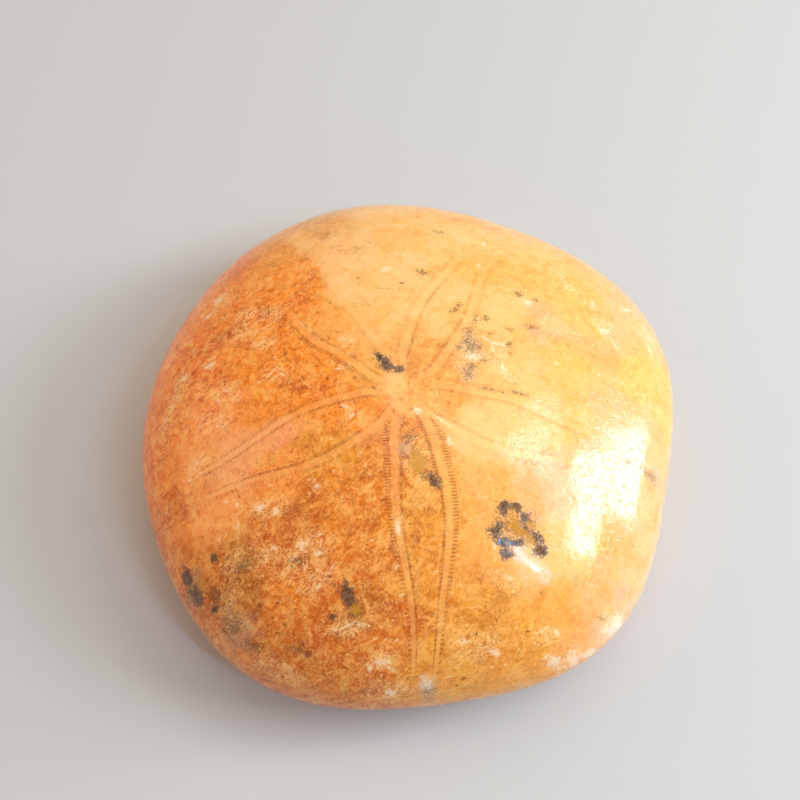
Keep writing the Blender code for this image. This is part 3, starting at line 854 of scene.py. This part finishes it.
def calcite_material():
    """Polished amber calcite."""
    material = bpy.data.materials.new("polished_calcite_finish")
    material.use_nodes = True
    tree = material.node_tree
    wires = Wiring(tree)
    shader = tree.nodes["Principled BSDF"]

    place = wires.place("ShaderNodeTexCoord", (), "Object")
    sheet = wires.place("ShaderNodeUVMap", (), uv_map="flat_sheet")
    stain = wires.attribute("stain")
    count, zone, _ = wires.split(wires.attribute("petal"))
    line_ink, comb_ink, _ = wires.split(wires.attribute("petal_ink"))
    black, speckled, grey = wires.split(wires.attribute("dark_minerals"))
    white, ochre, red = wires.split(wires.attribute("bright_minerals"))
    mottled, flecked, cracked = wires.split(wires.attribute("texture"))
    brown, frothy, rim_light_band = wires.split(wires.attribute("soft_marks_and_rim_light"))

    # Noise that several layers share
    tiny = wires.noise(place, 0.0004, 3.0, 0.7)
    fine = wires.noise(place, 0.0008, 5.0, 0.70, 0.8)
    patchy = wires.noise(place, 0.0028, 5.0, 0.62, 0.5)
    broad = wires.noise(place, 0.0075, 4.0, 0.6, 0.4)
    mottle = wires.noise(place, 0.0026, 8.0, 0.74, 0.7)
    clusters = wires.rise(wires.noise(place, 0.0048, 4.0, 0.65), 0.46, 0.60)
    ragged = wires.noise(place, 0.0011, 7.0, 0.80, 0.6)
    grains = wires.plus(wires.times(ragged, 0.55), wires.times(tiny, 0.45))

    def toned(below, shade):
        """A colour with each of its channels times a shade's."""
        return wires.mix(1.0, below, (*SHADES[shade], 1.0), "MULTIPLY")

    def shaded(below, shade, *shares):
        """A colour changed towards its toned self by the product of the shares."""
        return wires.mix(wires.times(*shares), below, toned(below, shade))

    def tinted(below, tint, *shares):
        """A colour changed towards a tint by the product of the shares."""
        return wires.mix(wires.times(*shares), below, (*TINTS[tint], 1.0))

    def scattered(reach, pull, edge, soft=0.05):
        """1 where the grains, raised by the reach of a patch, pass an edge."""
        return wires.rise(wires.plus(wires.times(reach, pull), grains), edge, edge + soft)

    def drawn(marks, raggedness):
        """The share of a thread at each place: 1 on it and 0 past its tips and sides."""
        along, across, _ = wires.split(marks)
        across = wires.plus(across, wires.times(wires.plus(tiny, -0.5), raggedness))
        return wires.rise(wires.far(along, across), 1.2, 0.5)

    in_band = wires.times(wires.rise(zone, 0.0, 0.2), wires.rise(zone, 0.85, 0.6),
                          wires.rise(line_ink, 0.0, 0.3))
    calm = wires.math("SUBTRACT", 1.0, wires.times(in_band, 0.45))
    rough_part = wires.times(mottled, calm)
    smooth_part = wires.rise(mottled, 0.50, 0.22)

    # Clouds inside the stone, deeper and paler: broad ones, mottling, blotches and milky veils
    colour = shaded(stain, "warm_cloud", wires.rise(broad, 0.46, 0.68))
    colour = shaded(colour, "light_cloud", wires.rise(broad, 0.46, 0.28))
    colour = shaded(colour, "deep_mottle", wires.rise(mottle, 0.49, 0.66), rough_part, 0.95)
    colour = tinted(colour, "fair_mottle", wires.rise(mottle, 0.50, 0.34), rough_part, 0.50)
    blotch = wires.noise(place, 0.0021, 3.0, 0.55, 0.8)
    colour = shaded(colour, "deep_blotch", wires.rise(blotch, 0.50, 0.60), rough_part, 0.85)
    colour = tinted(colour, "fair_blotch", wires.rise(blotch, 0.47, 0.38), rough_part, 0.55)
    milk = wires.noise(place, 0.0040, 4.0, 0.62, 1.0)
    colour = shaded(colour, "deep_milk", wires.rise(milk, 0.51, 0.60), smooth_part, 0.80)
    colour = shaded(colour, "pale_milk", wires.rise(milk, 0.47, 0.38), smooth_part, 0.75)
    colour = shaded(colour, "brown_blot", wires.rise(brown, -0.8, 0.6), wires.rise(mottle, 0.40, 0.58),
                    0.85)

    # Plates of calcite, large and small, with pale seams between them
    warped = wires.swayed(place, place, 420.0, 4.0, 0.0020)
    seam, small_seam = (
        wires.place("ShaderNodeTexVoronoi", {"Vector": warped, "Scale": scale}, "Distance",
                    feature="DISTANCE_TO_EDGE")
        for scale in (300.0, 640.0))
    seams = wires.times(wires.rise(seam, 0.055, 0.012), wires.rise(mottle, 0.44, 0.56))
    small_seams = wires.times(wires.rise(small_seam, 0.10, 0.02), clusters, rough_part)
    seams = wires.times(wires.math("MAXIMUM", seams, small_seams), wires.rise(mottled, 0.0, 0.6), calm)
    colour = tinted(colour, "seam", seams, wires.rise(fine, 0.58, 0.46), 0.34)

    # Grain all over, and brown dabs in clusters
    grain = wires.noise(place, 0.0006, 3.0, 0.60, 0.8)
    grain_share = wires.plus(wires.times(rough_part, 0.66), 0.12)
    colour = shaded(colour, "dark_grain", wires.rise(grain, 0.53, 0.64), grain_share)
    colour = tinted(colour, "fair_grain", wires.rise(grain, 0.46, 0.36), grain_share, 0.5)
    colour = shaded(colour, "brown_dab", wires.rise(fine, 0.56, 0.63), clusters, rough_part, 0.80)

    # Pale froth: ragged strokes that lie three ways, each way in patches of its own, and thin curls
    froth = wires.rise(frothy, -0.5, 0.5)
    froth_here = wires.math("MAXIMUM", wires.times(flecked, 1.25), wires.times(froth, 0.85))
    froth_here = wires.times(froth_here, calm)
    froth_tone = wires.mix(1.0, toned(stain, "froth"), (*TINTS["least_froth"], 1.0), "LIGHTEN")
    froth_tone = tinted(froth_tone, "full_froth", froth, 0.65)
    bent_sheet = wires.swayed(sheet, place, 520.0, 2.0, 0.0016)
    streaks = streak_group()
    for turn, size, patch in FROTH_LAYERS:
        streak = wires.group(streaks, {"Vector": bent_sheet, "Turn": turn, "Size": size})
        where = wires.noise(wires.vector("ADD", place, (turn, 0.0, 0.0)), patch, 3.0, 0.6)
        here = wires.rise(wires.plus(where, wires.times(froth, 0.07)), 0.46, 0.60)
        froth_share = wires.times(wires.rise(streak, 0.54, 0.62), here, froth_here, 0.70)
        colour = wires.mix(froth_share, colour, froth_tone)
        colour = shaded(colour, "between_froth", wires.rise(streak, 0.44, 0.36), here, rough_part, 0.55)
    curl = wires.math("ABSOLUTE", wires.plus(wires.noise(place, 0.0013, 3.0, 0.6, 1.2), -0.5))
    colour = tinted(colour, "curl", wires.rise(curl, 0.035, 0.008), wires.rise(mottle, 0.52, 0.44),
                    froth_here, 0.65)

    # Brighter single strokes, rough at their edges
    rough_sheet = wires.swayed(sheet, place, 2400.0, 3.0, 0.0006)
    stroke_patches = wires.rise(wires.noise(place, 0.0055, 4.0, 0.65), 0.44, 0.60)
    stroke_share = wires.times(froth_here, stroke_patches, 0.60)
    strokes = stroke_group()
    for spacing, length, width, spread in STROKE_LAYERS:
        mask = wires.group(strokes, {
            "Vector": rough_sheet, "Spacing": spacing, "Length": length, "Width": width,
            "Share": stroke_share, "Turn": 0.7, "Spread": spread})
        colour = tinted(colour, "stroke", mask, calm, 0.65)

    # Dark pin specks
    pins = wires.rise(wires.noise(place, 0.0009, 2.0, 0.5, 0.5), 0.66, 0.71)
    colour = tinted(colour, "pin_speck", pins, clusters, wires.rise(mottled, 0.0, 0.7), calm, 0.80)

    # Petals: a clean pale band between two dark rows that come and go
    colour = tinted(colour, "petal_band", in_band, 0.20)
    wear = wires.rise(wires.noise(place, 0.0022, 3.0, 0.65), 0.38, 0.58)
    wear = wires.plus(wires.times(wear, 0.60), 0.40)
    pores = wires.group(pore_group(), {
        "Count": wires.plus(count, wires.times(fine, 0.8)),
        "Zone": wires.plus(zone, wires.times(wires.plus(tiny, -0.5), 0.5)),
        "Line": wires.times(line_ink, wear), "Comb": wires.times(comb_ink, wear)})
    colour = shaded(colour, "pore", pores, 0.85)

    # Single marks: thin dark lines and pale threads, ragged along their length, and hairline cracks
    dark_line = drawn(wires.attribute("dark_threads"), 3.0)
    colour = shaded(colour, "dark_thread", dark_line, wires.rise(fine, 0.42, 0.56), 0.55)
    faint_line = drawn(wires.attribute("faint_threads"), 3.0)
    colour = tinted(colour, "faint_thread", faint_line, wires.rise(fine, 0.62, 0.44), 0.40)
    pale_line = drawn(wires.attribute("pale_threads"), 3.2)
    colour = tinted(colour, "pale_thread", pale_line, wires.rise(ragged, 0.60, 0.46), 0.52)
    cracks = wires.times(wires.rise(seam, 0.03, 0.006), wires.rise(cracked, 0.0, 0.4))
    colour = shaded(colour, "crack", cracks, wires.rise(fine, 0.46, 0.58), 0.5)

    # Minerals: each patch is ragged, and fades out into specks
    colour = tinted(colour, "grey_mineral", scattered(grey, 0.24, 0.52, 0.14), 0.42)
    pin_noise = wires.noise(place, 0.00028, 3.0, 0.7)
    specks = wires.plus(wires.times(ragged, 0.35), wires.times(pin_noise, 0.65))
    speck_mask = wires.rise(wires.plus(wires.times(speckled, 0.16), specks), 0.575, 0.625)
    colour = tinted(colour, "mineral_speck", speck_mask, 0.70)
    black_mask = scattered(black, 0.29, 0.56, 0.10)
    mineral = tinted((*TINTS["black_mineral"], 1.0), "dark_brown_mineral", wires.rise(tiny, 0.44, 0.60))
    colour = wires.mix(wires.times(black_mask, 0.90), colour, mineral)
    colour = tinted(colour, "ochre_mineral", scattered(ochre, 0.30, 0.54, 0.12), 0.85)
    colour = tinted(colour, "red_mineral", scattered(red, 0.30, 0.56), 0.75)
    colour = tinted(colour, "white_mineral", scattered(white, 0.20, 0.50, 0.16), 0.55)

    # Painted light: a paler, bluer band low on the rim of the pale right side, which faces the window lamps,
    # where the stone is thin
    pale_share = wires.plus(wires.times(mottled, -0.9), 1.0)
    colour = shaded(colour, "painted_rim_light", rim_light_band, pale_share, 0.95)
    tree.links.new(colour, shader.inputs["Base Color"])

    # Polish: glassy, with small dull pits where the stone is open
    pits = wires.rise(wires.plus(wires.times(fine, 0.6), wires.times(tiny, 0.4)), 0.52, 0.62)
    open_stone = wires.plus(wires.times(wires.rise(patchy, 0.40, 0.60), 0.75), 0.25)
    dull = wires.plus(wires.times(pits, open_stone, 0.26), wires.times(broad, 0.08), 0.05)
    tree.links.new(dull, shader.inputs["Roughness"])
    relief = wires.plus(wires.times(patchy, 1.6), wires.times(pits, -0.35), wires.times(pores, -0.25),
                        wires.times(black_mask, -0.3))
    bump = wires.place("ShaderNodeBump", {"Height": relief, "Distance": 0.00006, "Strength": 0.6}, "Normal")
    tree.links.new(bump, shader.inputs["Normal"])

    shader.inputs["IOR"].default_value = 1.48
    shader.inputs["Subsurface Weight"].default_value = 0.15
    shader.inputs["Subsurface Radius"].default_value = (1.0, 0.45, 0.18)
    shader.inputs["Subsurface Scale"].default_value = 0.0015
    return material


# ================================================================ camera, floor and lights

CAMERA_TARGET = (-0.00154, 0.01015, 0.0)
CAMERA_DISTANCE = 0.1684
CAMERA_ELEVATION = 63.0
CAMERA_ANGLE = 42.0
FLOOR_HALF = 1.5
FLOOR_COLOUR = (0.53, 0.51, 0.475, 1.0)
FLOOR_ROUGHNESS = 0.7
SURROUND_COLOUR = (1.0, 0.96, 0.91, 1.0)
SURROUND_STRENGTH = 0.44
LAMP_AIM_HEIGHT = 0.02
# Lamps: direction from the right towards the back and height in degrees, distance, width and height in
# metres, power and colour
LAMPS = (
    ("window_pane_left", -1.0, 31.0, 0.60, 0.28, 0.145, 2.4, (0.78, 0.89, 1.0)),
    ("window_pane_right", 8.0, 12.0, 0.60, 0.12, 0.25, 1.5, (0.80, 0.90, 1.0)),
    ("window_above", 20.5, 50.5, 0.60, 0.10, 0.15, 0.42, (0.76, 0.88, 1.0)),
    ("window_haze", 3.0, 46.0, 0.60, 0.20, 0.12, 0.30, (0.50, 0.72, 1.0)),
    ("slim_window", -41.0, 49.0, 0.60, 0.026, 0.24, 0.80, (0.34, 0.62, 1.0)),
    ("warm_fill", 168.0, 26.0, 0.90, 0.60, 0.50, 1.7, (1.0, 0.60, 0.32)),
    ("broad_lamp", 60.0, 66.0, 1.20, 0.90, 0.90, 4.2, (1.0, 0.89, 0.76)),
)


def add_camera():
    """A camera close above the front of the stone."""
    lens = bpy.data.cameras.new("camera")
    lens.sensor_fit = "HORIZONTAL"
    lens.angle = math.radians(CAMERA_ANGLE)
    lens.clip_start = 0.01
    camera = bpy.data.objects.new("camera", lens)
    rise = math.radians(CAMERA_ELEVATION)
    camera.location = (
        CAMERA_TARGET[0],
        CAMERA_TARGET[1] - CAMERA_DISTANCE * math.cos(rise),
        CAMERA_TARGET[2] + CAMERA_DISTANCE * math.sin(rise),
    )
    camera.rotation_euler = (math.radians(90.0 - CAMERA_ELEVATION), 0.0, 0.0)
    bpy.context.scene.collection.objects.link(camera)
    bpy.context.scene.camera = camera


def add_floor():
    """A plain pale floor."""
    corners = [(x * FLOOR_HALF, y * FLOOR_HALF, 0.0) for x, y in ((-1, -1), (1, -1), (1, 1), (-1, 1))]
    mesh = bpy.data.meshes.new("floor")
    mesh.from_pydata(corners, [], [(0, 1, 2, 3)])
    material = bpy.data.materials.new("floor_paper")
    material.use_nodes = True
    shader = material.node_tree.nodes["Principled BSDF"]
    shader.inputs["Base Color"].default_value = FLOOR_COLOUR
    shader.inputs["Roughness"].default_value = FLOOR_ROUGHNESS
    mesh.materials.append(material)
    floor = bpy.data.objects.new("floor", mesh)
    bpy.context.scene.collection.objects.link(floor)


def add_lamp(name, azimuth, elevation, distance, width, height, power, colour):
    """A soft rectangular lamp that faces the stone."""
    light = bpy.data.lights.new(name, "AREA")
    light.shape = "RECTANGLE"
    light.size = width
    light.size_y = height
    light.energy = power
    light.color = colour
    lamp = bpy.data.objects.new(name, light)
    turn, rise = math.radians(azimuth), math.radians(elevation)
    lamp.location = (
        distance * math.cos(rise) * math.cos(turn),
        distance * math.cos(rise) * math.sin(turn),
        distance * math.sin(rise) + LAMP_AIM_HEIGHT,
    )
    lamp.rotation_euler = (math.radians(90.0 - elevation), 0.0, turn + math.radians(90.0))
    bpy.context.scene.collection.objects.link(lamp)


def add_lights():
    """A window on the right in four panes, a slim window in front of it, a warm lamp on the left, a broad
    lamp high at the back, and a pale surround."""
    world = bpy.data.worlds.new("surround")
    world.use_nodes = True
    world.node_tree.nodes["Background"].inputs["Color"].default_value = SURROUND_COLOUR
    world.node_tree.nodes["Background"].inputs["Strength"].default_value = SURROUND_STRENGTH
    bpy.context.scene.world = world
    for lamp in LAMPS:
        add_lamp(*lamp)


def main():
    """The whole scene: camera, floor, lights and the finished stone."""
    add_camera()
    add_floor()
    add_lights()
    bpy.context.scene.view_settings.view_transform = "Standard"
    stone = make_stone()
    stone.data.materials.append(calcite_material())
    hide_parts("fossil_urchin")
    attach(stone, "root")


main()
